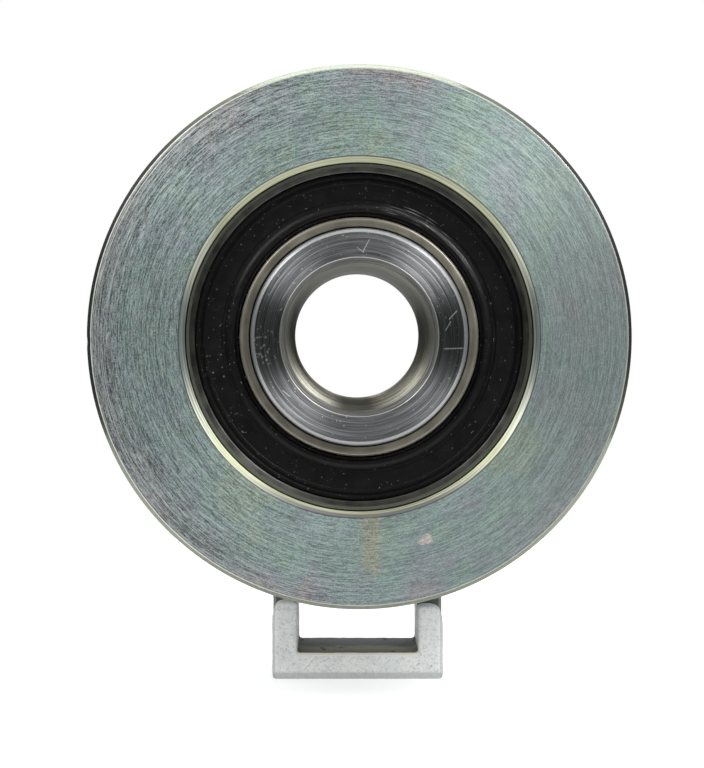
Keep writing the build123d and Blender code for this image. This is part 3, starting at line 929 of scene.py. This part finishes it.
def make_sleeve():
    """Sleeve with a rounded collar, light tool grooves on its face and a bored hole."""
    y_front, y_end = front("sleeve"), rear("sleeve")
    ring_front = front("bearing_inner_ring")
    clip_front, clip_rear = front("sleeve_circlip"), rear("sleeve_circlip") + 0.1
    end_edge = 0.5
    corners = [(SLEEVE_BORE_R + BORE_MOUTH, y_front, 0.03)]
    for groove_r in COLLAR_GROOVES:
        corners += [
            (groove_r - 0.08, y_front, 0),
            (groove_r, y_front + 0.03, 0.03),
            (groove_r + 0.08, y_front, 0),
        ]
    corners += [
        (COLLAR_R - COLLAR_EDGE + 0.15, y_front, 0.04),
        (COLLAR_R - 0.20, y_front + 0.40, 0.12),
        (COLLAR_R, y_front + COLLAR_EDGE, 0.12),
        (COLLAR_R, ring_front - 0.25, 0.1),
        (COLLAR_R - 0.25, ring_front, 0.05),
        (RING_BORE_R, ring_front, 0),
        (RING_BORE_R, clip_front, 0),
        (CLIP_GROOVE_R, clip_front, 0),
        (CLIP_GROOVE_R, clip_rear, 0),
        (RING_BORE_R, clip_rear, 0),
        (RING_BORE_R, y_end - end_edge, 0.1),
        (RING_BORE_R - end_edge, y_end, 0.1),
        (SLEEVE_BORE_R + end_edge, y_end, 0.1),
        (SLEEVE_BORE_R, y_end - end_edge, 0.1),
        *((SLEEVE_BORE_R, y, 0) for y in (16.0, 4.0)),
        (SLEEVE_BORE_R, y_front + BORE_MOUTH, 0.05),
    ]
    mesh = lathe("flanged_sleeve", rounded(corners))
    return piece("flanged_sleeve", mesh, "hub", "turned_steel", "sleeve")


def make_spacer():
    """Plain ring between the bearing and the bracket."""
    y_front, y_rear = front("rear_spacer"), rear("rear_spacer")
    edge = 0.4
    outline = rounded([
        (RING_BORE_R, y_front, 0),
        (COLLAR_R - edge, y_front, 0.1),
        (COLLAR_R, y_front + edge, 0.1),
        (COLLAR_R, y_rear - edge, 0.1),
        (COLLAR_R - edge, y_rear, 0.1),
        (RING_BORE_R, y_rear, 0),
    ])
    mesh = lathe("spacer_ring", outline)
    return piece("spacer_ring", mesh, "hub", "turned_steel", "rear_spacer")


def make_sleeve_circlip():
    """External circlip: its ears point outwards."""
    outlines = circlip_outlines(
        outer=17.6, inner=14.35, shift=0.5, gap_half=14,
        ear_r=1.9, ear_centre_r=16.6, hole_r=1.1, outward=True,
    )
    y_front, y_rear = front("sleeve_circlip"), rear("sleeve_circlip")
    mesh = plate("sleeve_circlip_ring", outlines, y_front, y_rear, 0.12)
    return piece("sleeve_circlip_ring", mesh, "hub", "spring_steel", "sleeve_circlip")


# ---- Bracket --------------------------------------------------------------------------------
def make_bracket():
    """Casting: hub, tapering web with a rear pocket, and a lug with a rectangular eye."""
    web = rounded([
        (-HUB_HALF_X, 0.0, 0), (-LUG_HALF_X, LUG_TOP_Z, 6.0), (-LUG_HALF_X, LUG_BOTTOM_Z, 1.0),
        (LUG_HALF_X, LUG_BOTTOM_Z, 1.0), (LUG_HALF_X, LUG_TOP_Z, 6.0), (HUB_HALF_X, 0.0, 0),
    ])
    eye = rounded([
        (-EYE_HALF_X, EYE_FLOOR_Z, 0), (EYE_HALF_X, EYE_FLOOR_Z, 0),
        (EYE_HALF_X, EYE_ROOF_Z, 1.0), (-EYE_HALF_X, EYE_ROOF_Z, 1.0),
    ])
    pocket = rounded([
        (-11.5, -42.0, 2.5), (11.5, -42.0, 2.5), (13.0, -26.0, 2.5), (-13.0, -26.0, 2.5),
    ])
    right_top, left_top = PAD_TOP_Z - 0.5, PAD_TOP_Z + 0.3
    pad = rounded([
        (-LUG_HALF_X, LUG_BOTTOM_Z, 1.0), (LUG_HALF_X, LUG_BOTTOM_Z, 1.0),
        (LUG_HALF_X, right_top, 3.4), (EYE_HALF_X, right_top, 0.8),
        (EYE_HALF_X, EYE_FLOOR_Z, 0), (-EYE_HALF_X, EYE_FLOOR_Z, 0),
        (-EYE_HALF_X, left_top, 0.8), (-LUG_HALF_X, left_top, 3.4),
    ])
    hub_rear = rear("bracket")
    whole = bmesh.new()
    for solid in (
        plate("web_front", [web, eye], WEB_FRONT_Y, POCKET_FLOOR_Y + 0.6, 0.5),
        plate("web_rear", [web, eye, pocket], POCKET_FLOOR_Y, WEB_REAR_Y, 0.3),
        plate("lug_pad", [pad], LUG_FRONT_Y, WEB_REAR_Y, 0.35),
        plate("hub", [circle(HUB_R)], HUB_FRONT_Y, hub_rear, 0.6),
    ):
        whole.from_mesh(solid)
    mesh = bpy.data.meshes.new("cast_bracket")
    whole.to_mesh(mesh)
    whole.free()
    bore = plate("bore_cutter", [circle(RING_BORE_R)], HUB_FRONT_Y - 5, hub_rear + 5, 0.1)
    mesh = carved(mesh, bore)
    noise.seed_set(SKIN_SEED)
    for vertex in mesh.vertices:
        shape_casting(vertex)
    mesh.update()
    return piece("cast_bracket", mesh, "hub", "cast_aluminium", "bracket")


def carved(mesh, cutter):
    """Overlapping solids grown into one skin, with the cutter's volume taken away."""
    body = bpy.data.objects.new("casting_work", mesh)
    tool = bpy.data.objects.new("casting_cutter", cutter)
    for working in (body, tool):
        bpy.context.scene.collection.objects.link(working)
    remesh = body.modifiers.new("skin", "REMESH")
    remesh.mode = "VOXEL"
    remesh.voxel_size = SKIN_VOXEL * MM
    smooth = body.modifiers.new("soften", "SMOOTH")
    smooth.factor = 0.5
    smooth.iterations = 2
    cut = body.modifiers.new("cut", "BOOLEAN")
    cut.operation = "DIFFERENCE"
    cut.object = tool
    cut.solver = "EXACT"
    bpy.context.view_layer.update()
    evaluated = body.evaluated_get(bpy.context.evaluated_depsgraph_get())
    skin = bpy.data.meshes.new_from_object(evaluated)
    skin.name = "cast_bracket"
    for working in (body, tool):
        bpy.data.objects.remove(working)
    return finish_mesh(skin, radians(50))


def shape_casting(vertex):
    """Foot bevel, chamfered sides of the lug and the small unevenness of a cast skin."""
    x, y, z = (axis / MM for axis in vertex.co)
    y = max(y, LUG_FRONT_Y + (LUG_BOTTOM_Z + FOOT_BEVEL - z) * 0.5)
    side_bevel_y = LUG_FRONT_Y + SIDE_BEVEL
    if z < PAD_TOP_Z + 2.0 and y < side_bevel_y:
        limit = LUG_HALF_X - (side_bevel_y - y)
        x = max(-limit, min(limit, x))
    machined = hypot(x, z) < HUB_R - 1.0
    if not machined:
        place = Vector((x, y, z))
        coarse, fine = noise.noise_vector(place * 0.45), noise.noise_vector(place * 1.3)
        moved = zip(place + (coarse * 0.05 + fine * 0.03), *SIZES["bracket"])
        x, y, z = (min(max(value, low + 0.01), high - 0.01) for value, low, high in moved)
    vertex.co = (x * MM, y * MM, z * MM)


# ---- Stage, light and camera ----------------------------------------------------------------
FLOOR_GLOW = 0.36  # lifts the floor to white in the camera's eyes only
HORIZON_DARKENS = (  # (height, light) of the tent, from straight down to straight up
    (0.0, 1.7), (0.27, 1.35), (0.37, 0.04), (0.60, 0.04), (0.76, 0.35), (1.0, 0.70),
)
AHEAD = (0.16, -0.95, 0.12)  # direction of a faint patch of light in front of the part
AHEAD_LIGHTENS = ((0.0, 0.0), (0.90, 0.0), (0.98, 0.08), (1.0, 0.12))


def make_stage():
    """Pale floor under the lug."""
    floor_mesh = bpy.data.meshes.new("floor")
    side, near, far = 0.16, -0.06, 0.16
    spots = ((-side, near), (side, near), (side, far), (-side, far))
    floor_mesh.from_pydata([(x, y, cad_low.z) for x, y in spots], [], [(0, 1, 2, 3)])
    paint = Graph("floor_paint", Roughness=0.9, Emission_Color=(1.0, 1.0, 1.0, 1.0))
    cloud = paint.noise(paint.place, 0.004)
    paint.set("Base Color", paint.mix(cloud, (0.86, 0.86, 0.86), (0.90, 0.90, 0.90)))
    seen = paint.tree.nodes.new("ShaderNodeLightPath").outputs["Is Camera Ray"]
    paint.set("Emission Strength", paint.times(seen, FLOOR_GLOW))
    floor_mesh.materials.append(paint.material)
    floor = bpy.data.objects.new("floor", floor_mesh)
    bpy.context.scene.collection.objects.link(floor)


def softbox(name, place, size, radiance):
    """Rectangular light aimed at the roller, unseen by the camera."""
    light = bpy.data.lights.new(name, "AREA")
    light.shape = "RECTANGLE"
    light.size, light.size_y = size
    light.energy = pi * size[0] * size[1] * radiance
    lamp = bpy.data.objects.new(name, light)
    lamp.location = place
    lamp.rotation_euler = (-Vector(place)).to_track_quat("-Z", "Y").to_euler()
    lamp.visible_camera = False
    bpy.context.scene.collection.objects.link(lamp)


def make_surround():
    """White to the eye; to the part, a tent that is dark at the sides and faintly lit ahead."""
    world = bpy.data.worlds.new("surround")
    bpy.context.scene.world = world
    world.use_nodes = True
    tree = world.node_tree
    tree.nodes.clear()
    direction = tree.nodes.new("ShaderNodeTexCoord")
    axes = tree.nodes.new("ShaderNodeSeparateXYZ")
    tree.links.new(direction.outputs["Generated"], axes.inputs["Vector"])

    def curve(value, levels):
        """Light level for a value from -1 to 1, which the levels count as 0 to 1."""
        spread = tree.nodes.new("ShaderNodeMapRange")
        spread.inputs["From Min"].default_value = -1.0
        tree.links.new(value, spread.inputs["Value"])
        shade = tree.nodes.new("ShaderNodeValToRGB")
        shade.color_ramp.interpolation = "EASE"
        tree.links.new(spread.outputs["Result"], shade.inputs["Fac"])
        elements = shade.color_ramp.elements
        while len(elements) < len(levels):
            elements.new(1.0)
        for element, (position, level) in zip(elements, levels):
            element.position = position
            element.color = (level, level, level, 1.0)
        return shade.outputs["Color"]

    height = curve(axes.outputs["Z"], HORIZON_DARKENS)
    towards = tree.nodes.new("ShaderNodeVectorMath")
    towards.operation = "DOT_PRODUCT"
    tree.links.new(direction.outputs["Generated"], towards.inputs[0])
    towards.inputs[1].default_value = Vector(AHEAD).normalized()
    ahead = curve(towards.outputs["Value"], AHEAD_LIGHTENS)
    both = tree.nodes.new("ShaderNodeMix")
    both.data_type = "RGBA"
    both.blend_type = "ADD"
    both.inputs[0].default_value = 1.0
    tree.links.new(height, both.inputs[6])
    tree.links.new(ahead, both.inputs[7])
    tent = tree.nodes.new("ShaderNodeBackground")
    tree.links.new(both.outputs[2], tent.inputs["Color"])
    backdrop = tree.nodes.new("ShaderNodeBackground")
    backdrop.inputs["Color"].default_value = (1.0, 1.0, 1.0, 1.0)
    seen = tree.nodes.new("ShaderNodeLightPath")
    choice = tree.nodes.new("ShaderNodeMixShader")
    tree.links.new(seen.outputs["Is Camera Ray"], choice.inputs["Fac"])
    tree.links.new(tent.outputs["Background"], choice.inputs[1])
    tree.links.new(backdrop.outputs["Background"], choice.inputs[2])
    output = tree.nodes.new("ShaderNodeOutputWorld")
    tree.links.new(choice.outputs["Shader"], output.inputs["Surface"])


def make_camera():
    """Square on to the tyre, close enough to look a little way into the bore."""
    data = bpy.data.cameras.new("camera")
    data.lens = 54.18
    data.sensor_width = 36.0
    data.shift_x = 0.0102
    data.shift_y = -0.0692
    data.clip_start = 0.01
    camera = bpy.data.objects.new("camera", data)
    aside, distance, above = -0.0025, 0.190, 0.0010
    camera.location = (aside, front("tyre") * MM - distance, above)
    camera.rotation_euler = (pi / 2, 0, 0)
    bpy.context.scene.collection.objects.link(camera)
    bpy.context.scene.camera = camera


# ---- Assembly -------------------------------------------------------------------------------
make_tyre()
make_outer_ring()
make_seal("front", -1)
make_seal("rear", 1)
make_tyre_circlip()
make_inner_ring()
make_sleeve()
make_spacer()
make_sleeve_circlip()
make_bracket()

slot_of = {row["node"]: row["material_slot"] for row in frame["record"]["subparts"]}
for node, part in frame["nodes"].items():
    if not part.hide_render:
        for place in part.material_slots:
            place.material = MATERIALS[slot_of[node]]

make_stage()
make_surround()
softbox("ceiling", (0.0, 0.10, 0.60), (0.5, 0.35), 3.1)
softbox("key_left", (-0.42, -0.40, 0.40), (0.34, 0.34), 6.1)
softbox("key_right", (0.40, -0.44, 0.42), (0.34, 0.34), 10.2)
make_camera()
bpy.context.scene.view_settings.view_transform = "Standard"
